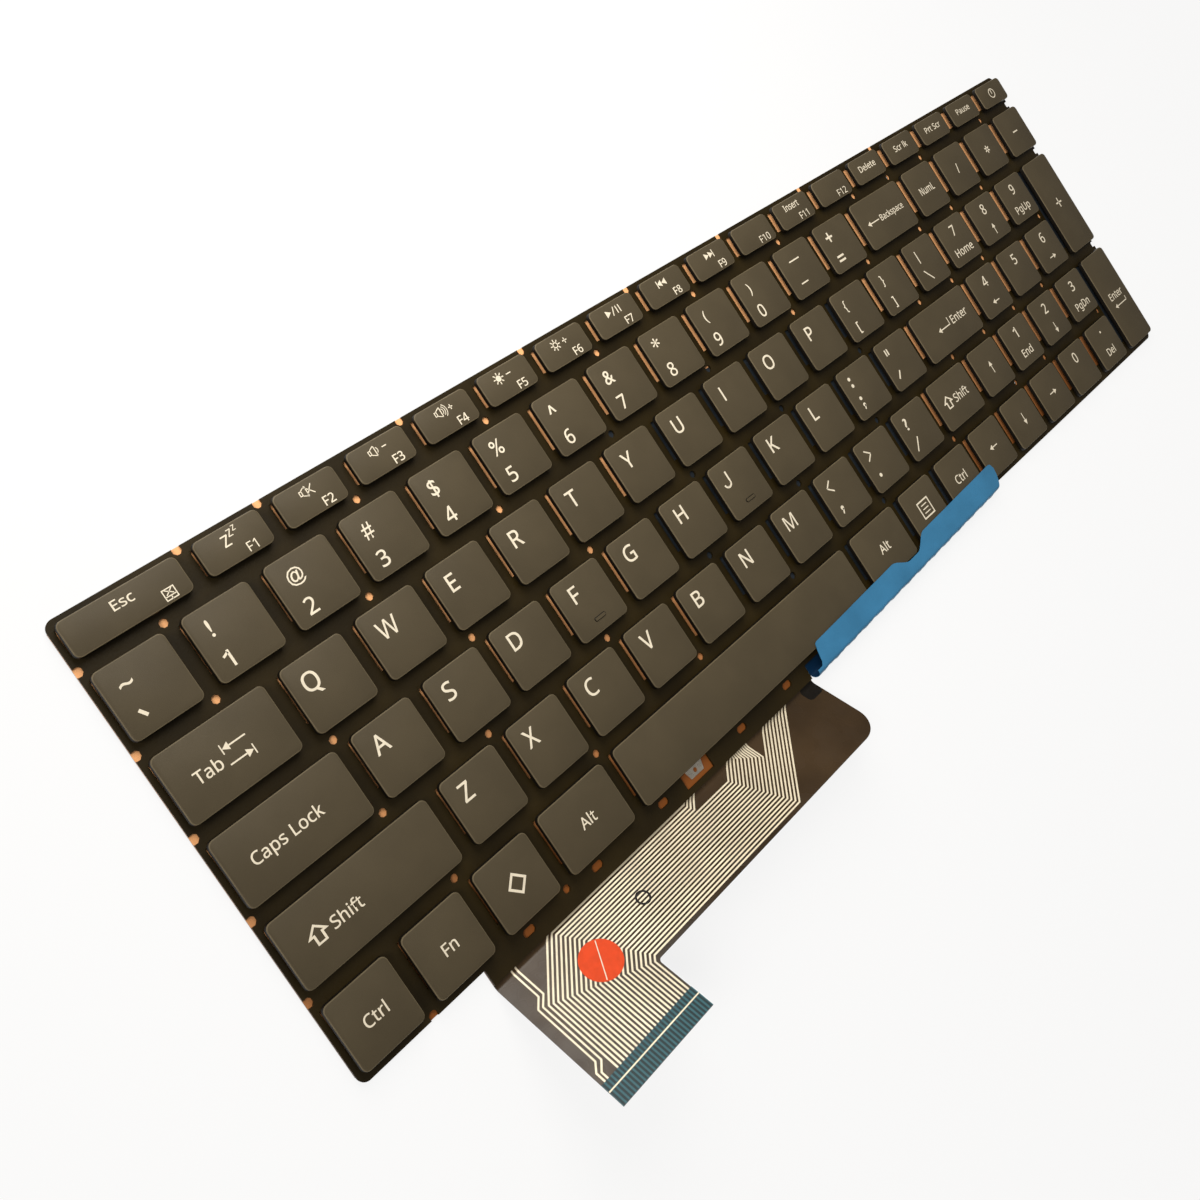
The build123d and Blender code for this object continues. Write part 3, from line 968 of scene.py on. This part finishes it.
class KEYBOARD_OT_domes(bpy.types.Operator):
    """Model the rubber dome under each cap and the folding frame under each moving cap"""

    bl_idname = "keyboard.domes"
    bl_label = "Domes and frames"

    def execute(self, context):
        floor_z, cap_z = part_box("rubber_domes")[0].z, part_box("key_q")[0].z
        dome = dome_blank(cap_z - floor_z)
        ring = frame_blank(*solids_of("scissor_frames")[0])
        moving = {key: middle_of(*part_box("key_" + key)) for key in moving_keys()}
        fixed = []
        for low, high in solids_of("rubber_domes"):
            spot = middle_of(low, high)
            place = Matrix.Translation((*spot, floor_z))
            near = [key for key, at in moving.items() if abs(at[0] - spot[0]) + abs(at[1] - spot[1]) < MM]
            if not near:
                fixed.append(copy_of(dome, place, "dome"))
                continue
            pair = [copy_of(dome, place, "dome"), copy_of(ring, place, "ring")]
            spring = join(pair, "spring_" + near[0])
            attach(spring, "chassis")
            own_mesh(spring)
            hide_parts("rubber_domes", "scissor_frames")
        still = join(fixed, "fixed_domes")
        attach(still, "chassis")
        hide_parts("rubber_domes")
        for blank in (dome, ring, *blanks.values()):
            bpy.data.objects.remove(blank)
        return {"FINISHED"}


# Connector tail

# Places on the flat tail in millimetres, from its left edge and down from its root
TRACK_TOP, TRACK_COUNT, SHORT_TRACKS = -1.74, 24, 5
TRACK_LEFT, FIRST_BEND, BEND_STEP, FIRST_ROW = 4.8, 9.2, 0.413, -1.2
# Where the tracks leave the band for the root: the short ones, the others, and those that end upright
SHORT_REACH, SHORT_STEP, SHORT_LEAN = 60.2, 0.25, 1.1
LONG_REACH, LONG_STEP, LONG_SLOPE = 72.85, 0.36, 0.91
FIRST_UPRIGHT, LAST_UPRIGHT, UPRIGHT_PLACE, UPRIGHT_STEP = 2, 10, 78.8, 0.66
BEND_CUTS, CUT_STEP = 6, 0.3
TAIL_WIDTH = 111.6
RING_X, RING_RUN, RING_RADIUS, RING_STROKE, RING_LIFT = 36.1, 7.3, 1.8, 0.5, 0.03
DARK_IN, DARK_RUN, DARK_WIDE, DARK_LONG, DARK_CORNER = 2.7, 0.5, 5.2, 4.3, 1.2
LINE_RUN, LINE_WIDE = 1.95, 0.3
STRIPE_LONG, STRIPE_WIDE, STRIPE_TURN, STRIPE_LIFT = 9.0, 0.22, 58, 0.11
# How far marks lie over the film, the contact line over the stiffener, and the sticker's thickness and rim
MARK_LIFT, LINE_LIFT, STICKER_THICK, STICKER_RIM = 0.015 * MM, 0.21 * MM, 0.1 * MM, 0.03 * MM


def tail_frame():
    """Root of the tail's upper face, the way down the tail and the way out of it."""
    data = frame["nodes"]["tail_stiffener"].data
    up = max((face.normal for face in data.polygons), key=lambda n: n.z).copy()
    down = Vector((0, -up.z, up.y))
    face = min(corner.co.dot(up) for corner in data.vertices)
    end = max(corner.co.dot(down) for corner in data.vertices)
    return up * face + down * (end - the_sizes().leg), down, up


def lay_on_tail(piece, lift):
    """Move a piece drawn flat, its root at y = 0 and its end at -y, onto the raised film and its bend."""
    root, down, up = tail_frame()
    bend = the_sizes().bend
    lean = up.angle(Vector((0, 0, 1)))
    for corner in piece.data.vertices:
        run, height = -corner.co.y, corner.co.z + lift
        if run >= 0:
            spot = root + down * run + up * height
        else:
            turn = max(lean + run / bend, 0)
            flat = max(-run - lean * bend, 0)
            arm = bend - height
            spot = root + up * bend + Vector((0, flat - arm * sin(turn), -arm * cos(turn)))
        corner.co = (corner.co.x, spot.y, spot.z)
    piece.data.update()


def cut_for_bend(piece):
    """Divide a flat piece where it will follow the bend."""
    for step in range(BEND_CUTS):
        pick(piece, "FACE", lambda centre, normal: True)
        bpy.ops.mesh.bisect(plane_co=(0, CUT_STEP * MM * step, 0), plane_no=(0, 1, 0))
        leave_edit()


def ribbon(lines, name, width):
    """Flat strips of even width along lines of points."""
    clear()
    bpy.ops.curve.primitive_bezier_curve_add()
    strip = bpy.context.object
    strip.name = name
    data = strip.data
    data.splines.clear()
    for line in lines:
        spline = data.splines.new("POLY")
        spline.points.add(len(line) - 1)
        for point, (x, run) in zip(spline.points, line):
            point.co = (x, -run, 0, 1)
            point.tilt = pi / 2
    data.extrude = width / 2
    data.twist_mode = "Z_UP"
    bpy.ops.object.convert(target="MESH")
    strip = bpy.context.object
    for face in strip.data.polygons:
        if face.normal.z < 0:
            face.flip()
    return strip


def edge_track(step, foot):
    """One of the two tracks down the left edge, stepping out twice on the way."""
    inner, middle, outer = 4.75 + 1.1 * step, 2.7 + 1.06 * step, 1.1 + 0.85 * step
    turn, low = 6.4 + 0.3 * step, 23.5 + 0.6 * step
    start = [(inner, TRACK_TOP), (inner, turn), (middle, turn + 1.9)]
    return start + [(middle, low), (outer, low + 1.7), (outer, foot)]


def long_track(place, pitch, rows, foot):
    """A track up the leg, over at a slant to its row, along the band and up to the root."""
    x = TRACK_LEFT + pitch * place
    bend = FIRST_BEND + BEND_STEP * place
    row = FIRST_ROW + rows * (place - 1)
    line = [(x, foot), (x, bend)]
    if place == 0:
        return line + [(x + bend - TRACK_TOP, TRACK_TOP)]
    line.append((x + bend - row, row))
    if place < SHORT_TRACKS:
        reach = SHORT_REACH + SHORT_STEP * place
        return line + [(reach, row), (reach + (row - TRACK_TOP) * SHORT_LEAN, TRACK_TOP)]
    step = place - SHORT_TRACKS
    reach = LONG_REACH + LONG_STEP * step
    line.append((reach, row))
    if FIRST_UPRIGHT <= step <= LAST_UPRIGHT:
        upright = UPRIGHT_PLACE + UPRIGHT_STEP * (step - FIRST_UPRIGHT)
        return line + [(upright, row - (upright - reach) * LONG_SLOPE), (upright, TRACK_TOP)]
    return line + [(reach + (row - TRACK_TOP) / LONG_SLOPE, TRACK_TOP)]


def track_lines(left, end):
    """Lines of the silver tracks on the flat tail, from its left edge; end is the run at which they stop."""
    sizes = the_sizes()
    foot = end / MM
    lines = [edge_track(step, foot) for step in (0, 1)]
    for place in range(TRACK_COUNT):
        lines.append(long_track(place, sizes.pitch / MM, sizes.rows / MM, foot))
    return [[(left + x * MM, run * MM) for x, run in line] for line in lines]


def flat_bar(x, run, width, length, turn=0.0):
    """A flat bar drawn on the tail about a point."""
    bar = new_plane()
    place = Matrix.Translation((x, -run, 0)) @ Matrix.Rotation(radians(turn), 4, "Z")
    bar.data.transform(place @ Matrix.Diagonal((width, length, 1, 1)))
    return bar


def dark_patch(right):
    """The dark rounded patch over the root of the tail at its right end."""
    patch = flat_bar(right - DARK_IN * MM, DARK_RUN * MM, DARK_WIDE * MM, DARK_LONG * MM)
    pick(patch, "VERT", lambda co: True)
    bpy.ops.mesh.bevel(offset=DARK_CORNER * MM, segments=4, affect="VERTICES")
    leave_edit()
    dress(patch, "mark")
    return patch


def tail_ring(x, run):
    """A plain printed ring."""
    ring = flat_ring(32, RING_RADIUS * MM, RING_STROKE * MM)
    ring.data.transform(Matrix.Translation((x, -run, RING_LIFT * MM)))
    dress(ring, "mark")
    return ring


class KEYBOARD_OT_tail(bpy.types.Operator):
    """Model the tracks, the dark patch, the contact line and the round sticker of the connector tail"""

    bl_idname = "keyboard.tail"
    bl_label = "Connector tail"

    def execute(self, context):
        sizes = context.scene.keyboard_sizes
        root, down, up = tail_frame()
        low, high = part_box("tail_stiffener")
        wide = high.x - low.x
        corners = frame["nodes"]["tail_stiffener"].data.vertices
        start = min(corner.co.dot(down) for corner in corners) - root.dot(down)
        tracks = ribbon(track_lines(low.x, start), "tracks", sizes.track)
        dress(tracks, "track")
        ring = tail_ring(low.x + RING_X * MM, RING_RUN * MM)
        marks = join([tracks, ring, dark_patch(low.x + TAIL_WIDTH * MM)], "tail_print")
        cut_for_bend(marks)
        lay_on_tail(marks, MARK_LIFT)
        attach(marks, "chassis")

        line = flat_bar(low.x + wide / 2, start + LINE_RUN * MM, wide, LINE_WIDE * MM)
        line.name = line.data.name = "contact_line"
        dress(line, "track")
        lay_on_tail(line, LINE_LIFT)
        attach(line, "chassis")

        low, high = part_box("tail_sticker")
        middle = (low + high) / 2
        clear()
        radius = (high.x - low.x) / 2
        bpy.ops.mesh.primitive_cylinder_add(vertices=64, radius=radius, depth=STICKER_THICK)
        disc = context.object
        pick(disc, "EDGE", lambda a, b: a.z > 0 and b.z > 0)
        bevel(STICKER_RIM, 2)
        leave_edit()
        run = (middle - root).dot(down)
        disc.data.transform(Matrix.Translation((middle.x, -run, STICKER_THICK / 2)))
        dress(disc, "sticker")
        stripe = flat_bar(middle.x, run, STRIPE_LONG * MM, STRIPE_WIDE * MM, STRIPE_TURN)
        stripe.data.transform(Matrix.Translation((0, 0, STRIPE_LIFT * MM)))
        dress(stripe, "print")
        sticker = join([disc, stripe], "round_sticker")
        lay_on_tail(sticker, 0)
        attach(sticker, "chassis")
        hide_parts("tail_sticker")
        return {"FINISHED"}


# Folded liner

# Turn of the fold to the plate's front edge, its lead behind the plate and its length, in millimetres
LINER_TURN = radians(1.62)
LINER_LEAD = 2.8
LINER_LENGTH = 97.2
# Shares of the strip's depth at which the fold begins and ends, and how far its right end is drawn round
FOLD_START, FOLD_END = 0.1, 0.55
END_ROUND, END_RUN = 4.5, 12
# Runs over which the lap's dip goes down and up, its depth on each side, and the loss of the left part
DIP_DOWN, DIP_MIDDLE, DIP_UP = (41.2, 48), 50, (52, 58.6)
DIP_LEFT, DIP_RIGHT, LEFT_LOSS = 2.8, 3.4, 0.6
# Round left end of the lap, what is left of it there, and the radius of its right corner
LAP_END, LAP_REST, LAP_CORNER = (2.6, 4.5), 0.5, 1.8
# Ripples of the fold by height, rate and start, and the long wave of the lap
RIPPLES = ((0.1, 0.9, 0), (0.06, 2.3, 1))
WAVE_HEIGHT, WAVE_RATE, WAVE_START = 0.05, 0.35, 2
# Step, skew and hem of the part behind the plate
PATCH_RIGHT = 10.1
PATCH_SKEW = 5.0
PATCH_STEP = 10.0
PATCH_HEM = 3.0


def rise(value, start, end):
    """A smooth rise from 0 to 1 between two places."""
    share = min(max((value - start) / (end - start), 0), 1)
    return share * share * (3 - 2 * share)


def lap_reach(run):
    """How far the lap reaches in from the fold, in millimetres, with a round end, a dip and a corner."""
    lap = the_sizes().lap / MM
    if run < DIP_MIDDLE:
        reach = lap - LEFT_LOSS - DIP_LEFT * rise(run, *DIP_DOWN)
    else:
        reach = lap - DIP_RIGHT * (1 - rise(run, *DIP_UP))
    corner = min(max((LINER_LENGTH - run) / LAP_CORNER, 0), 1)
    reach -= LAP_CORNER * (1 - (1 - (1 - corner) ** 2) ** 0.5)
    return LAP_REST + (reach - LAP_REST) * rise(run, *LAP_END) ** 0.5


def fold_liner():
    """The flat strip of the liner folded round the front edge and lapped over the keys."""
    sizes = the_sizes()
    low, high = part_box("liner")
    half = (high.z - low.z - sizes.liner) / 2
    bulge = sizes.bulge - sizes.liner / 2
    middle_z = (low.z + high.z) / 2
    along = Vector((cos(LINER_TURN), sin(LINER_TURN), 0))
    inward = Vector((-sin(LINER_TURN), cos(LINER_TURN), 0))
    start = Vector((high.x - LINER_LENGTH * MM, low.y + sizes.bulge, middle_z))
    clear()
    bpy.ops.mesh.primitive_grid_add(x_subdivisions=140, y_subdivisions=30, size=2)
    strip = bpy.context.object
    for corner in strip.data.vertices:
        run = (corner.co.x + 1) / 2 * LINER_LENGTH
        share = (corner.co.y + 1) / 2
        ripple = sum(tall * sin(run * rate + first) for tall, rate, first in RIPPLES) * MM
        if share < FOLD_START:
            reach, height = LINER_LEAD * MM * (1 - share / FOLD_START), -half
        elif share < FOLD_END:
            turn = pi * (share - FOLD_START) / (FOLD_END - FOLD_START)
            reach, height = -(bulge + ripple) * sin(turn), -half * cos(turn)
        else:
            over = (share - FOLD_END) / (1 - FOLD_END)
            reach = lap_reach(run) * MM * over
            height = half + WAVE_HEIGHT * MM * (sin(run * WAVE_RATE + WAVE_START) - 1) * over
        depth = min((sizes.lap - reach) / (sizes.lap + sizes.bulge), 1)
        drawn = END_ROUND * (1 - (1 - depth * depth) ** 0.5)
        drawn *= rise(run, LINER_LENGTH - END_RUN, LINER_LENGTH)
        corner.co = start + along * (run - drawn) * MM + inward * reach + Vector((0, 0, height))
    strip.data.update()
    dress(strip, "liner", "inside")
    wall = strip.modifiers.new("thickness", "SOLIDIFY")
    wall.thickness = sizes.liner
    wall.offset = 0
    wall.use_even_offset = True
    # The other side of the sheet takes the darker inner finish, painted shade for the inside of the fold
    wall.material_offset = 1
    return strip


def back_patch():
    """The part of the liner that lies flat behind the plate, extended forwards to the fold, in the liner's
    colour darkened as painted shade.
    """
    sizes = the_sizes()
    low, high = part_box("liner")
    plate_front = low.y + sizes.bulge + LINER_LEAD * MM
    left, rear, fold_left = low.x, high.y, high.x - LINER_LENGTH * MM
    right, step = high.x - PATCH_RIGHT * MM, plate_front + PATCH_STEP * MM
    patch = new_plane()
    middle = ((left + right) / 2, (rear + step) / 2, low.z + sizes.liner / 2)
    patch.data.transform(Matrix.Translation(middle) @ Matrix.Diagonal((right - left, rear - step, 1, 1)))
    pick(patch, "VERT", lambda co: co.x > middle[0] and co.y > middle[1])
    bpy.ops.transform.translate(value=(0, -PATCH_SKEW * MM, 0))
    pick(patch, "FACE", lambda centre, normal: True)
    bpy.ops.mesh.bisect(plane_co=(fold_left, 0, 0), plane_no=(1, 0, 0))
    pick(patch, "EDGE", lambda a, b: max(a.y, b.y) < step + MM and min(a.x, b.x) > fold_left - MM)
    extrude((0, (PATCH_HEM - PATCH_STEP) * MM, 0))
    extrude((0, -PATCH_HEM * MM, 0))
    hem = plate_front + PATCH_HEM * MM / 2
    pick(patch, "EDGE", lambda a, b: min(a.x, b.x) > right - MM and abs((a.y + b.y) / 2 - hem) < MM / 4)
    extrude((PATCH_RIGHT * MM, 0, 0))
    bpy.ops.mesh.select_all(action="SELECT")
    bpy.ops.mesh.normals_make_consistent(inside=False)
    leave_edit()
    dress(patch, "behind")
    wall = patch.modifiers.new("thickness", "SOLIDIFY")
    wall.thickness = sizes.liner
    wall.offset = 0
    return patch


class KEYBOARD_OT_liner(bpy.types.Operator):
    """Model the blue liner as one folded sheet"""

    bl_idname = "keyboard.liner"
    bl_label = "Folded liner"

    def execute(self, context):
        parts = [fold_liner(), back_patch()]
        for part in parts:
            apply_modifiers(part)
        sheet = join(parts, "liner_sheet")
        ease(sheet, 40)
        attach(sheet, "chassis")
        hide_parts("liner")
        return {"FINISHED"}


# Finishes of the nodes shown as they are


class KEYBOARD_OT_finishes(bpy.types.Operator):
    """Give the plate, the films, the contact end and the earthing tab their finishes"""

    bl_idname = "keyboard.finishes"
    bl_label = "Plate and films"

    def execute(self, context):
        plain = {
            "base_plate": "plate",
            "upper_film": "amber",
            "lower_film": "film",
            "tail_stiffener": "teal",
            "earth_tab": "metal",
        }
        for node, name in plain.items():
            dress(frame["nodes"][node], name)
        return {"FINISHED"}


# Floor, lights and camera

FLOOR_SIZE, FLOOR_DROP = 60, 0.0002
FLOOR_TONE, FLOOR_ROUGH, FLOOR_GLOW = (0.85, 0.85, 0.85, 1), 0.9, 0.84
WORLD_TONE, WORLD_LIGHT = (1, 0.95, 0.88, 1), 0.25
LAMP_TONE = (1, 0.96, 0.9)
# Each lamp: name, kind, place, spread and power
LAMPS = (
    ("main", "AREA", (-0.07, 0.2, 0.19), 0.22, 0.8),
    ("side", "SUN", (-0.5, 0.2, 0.5), radians(25), 1.5),
)
# The photo's camera: its place, its right and its line of sight, its lens and how far the frame is shifted
CAMERA_PLACE = (-0.222504, 0.026718, 0.234855)
CAMERA_RIGHT = (0.67993, -0.54928, 0.48578)
CAMERA_VIEW = (0.54562, -0.06362, -0.83562)
CAMERA_LENS, CAMERA_SHIFT = 36.4725, (0.02689, -0.05177)


def floor_finish():
    """A pale floor that is white to the camera and in reflections, and still takes the shadow."""
    white = bpy.data.materials.new("floor")
    white.use_nodes = True
    tree = white.node_tree
    shader = tree.nodes["Principled BSDF"]
    shader.inputs["Base Color"].default_value = FLOOR_TONE
    shader.inputs["Roughness"].default_value = FLOOR_ROUGH
    glow = add(tree, "Emission", Color=(1, 1, 1, 1))
    path = add(tree, "LightPath").outputs
    seen = reckon(tree, "MAXIMUM", path["Is Camera Ray"], path["Is Glossy Ray"])
    seen = reckon(tree, "MAXIMUM", seen, path["Is Transmission Ray"])
    share = add(tree, "MapRange", Value=seen, To_Max=FLOOR_GLOW)
    mix = add(tree, "MixShader", share.outputs["Result"], shader.outputs["BSDF"], glow.outputs["Emission"])
    tree.links.new(mix.outputs["Shader"], tree.nodes["Material Output"].inputs["Surface"])
    return white


def add_lamp(name, kind, spot, spread, power):
    """A lamp that shines on the middle of the keyboard."""
    clear()
    bpy.ops.object.light_add(type=kind, location=spot)
    lamp = bpy.context.object
    lamp.name = name
    if kind == "SUN":
        lamp.data.angle = spread
    else:
        lamp.data.size = spread
    lamp.data.energy = power
    lamp.data.color = LAMP_TONE
    lamp.rotation_euler = (-Vector(spot)).to_track_quat("-Z", "Y").to_euler()


def add_camera():
    """The camera at the photo's angle."""
    clear()
    bpy.ops.object.camera_add(location=CAMERA_PLACE)
    camera = bpy.context.object
    camera.name = "camera"
    right, view = Vector(CAMERA_RIGHT), Vector(CAMERA_VIEW)
    above = right.cross(view)
    columns = (right, above, -view, camera.location)
    rows = [[column[axis] for column in columns] for axis in range(3)]
    camera.matrix_world = Matrix((*rows, (0, 0, 0, 1)))
    camera.data.sensor_width = 36
    camera.data.lens = CAMERA_LENS
    camera.data.shift_x, camera.data.shift_y = CAMERA_SHIFT
    camera.data.clip_start = 0.01
    return camera


class KEYBOARD_OT_stage(bpy.types.Operator):
    """Set the pale floor, the soft lights and the camera"""

    bl_idname = "keyboard.stage"
    bl_label = "Stage"

    def execute(self, context):
        scene = context.scene
        clear()
        bpy.ops.mesh.primitive_plane_add(size=FLOOR_SIZE, location=(0, 0, -FLOOR_DROP))
        floor = context.object
        floor.name = "floor"
        floor.data.materials.append(floor_finish())

        world = bpy.data.worlds.new("studio")
        scene.world = world
        world.use_nodes = True
        light = world.node_tree.nodes["Background"]
        light.inputs["Color"].default_value = WORLD_TONE
        light.inputs["Strength"].default_value = WORLD_LIGHT
        for lamp in LAMPS:
            add_lamp(*lamp)
        scene.camera = add_camera()
        scene.view_settings.view_transform = "Standard"
        return {"FINISHED"}


class KEYBOARD_PT_panel(bpy.types.Panel):
    """The keyboard's sizes, colours and steps"""

    bl_idname = "KEYBOARD_PT_panel"
    bl_label = "Keyboard"
    bl_space_type = "VIEW_3D"
    bl_region_type = "UI"
    bl_category = "Keyboard"

    def draw(self, context):
        column = self.layout.column()
        for step in steps:
            column.operator(step.bl_idname)
        for group in (context.scene.keyboard_sizes, context.scene.keyboard_colours):
            column.separator()
            for name in group.__annotations__:
                column.prop(group, name)


steps = (
    KEYBOARD_OT_moving_caps,
    KEYBOARD_OT_fixed_caps,
    KEYBOARD_OT_domes,
    KEYBOARD_OT_tail,
    KEYBOARD_OT_liner,
    KEYBOARD_OT_finishes,
    KEYBOARD_OT_stage,
)
classes = (KeyboardSizes, KeyboardColours, *steps, KEYBOARD_PT_panel)


def register():
    for item in classes:
        bpy.utils.register_class(item)
    bpy.types.Scene.keyboard_sizes = PointerProperty(type=KeyboardSizes)
    bpy.types.Scene.keyboard_colours = PointerProperty(type=KeyboardColours)


def unregister():
    del bpy.types.Scene.keyboard_colours
    del bpy.types.Scene.keyboard_sizes
    for item in reversed(classes):
        bpy.utils.unregister_class(item)


def main():
    """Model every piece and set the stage."""
    register()
    bpy.ops.keyboard.moving_caps()
    bpy.ops.keyboard.fixed_caps()
    bpy.ops.keyboard.domes()
    bpy.ops.keyboard.tail()
    bpy.ops.keyboard.liner()
    bpy.ops.keyboard.finishes()
    bpy.ops.keyboard.stage()


if __name__ == "__main__":
    main()
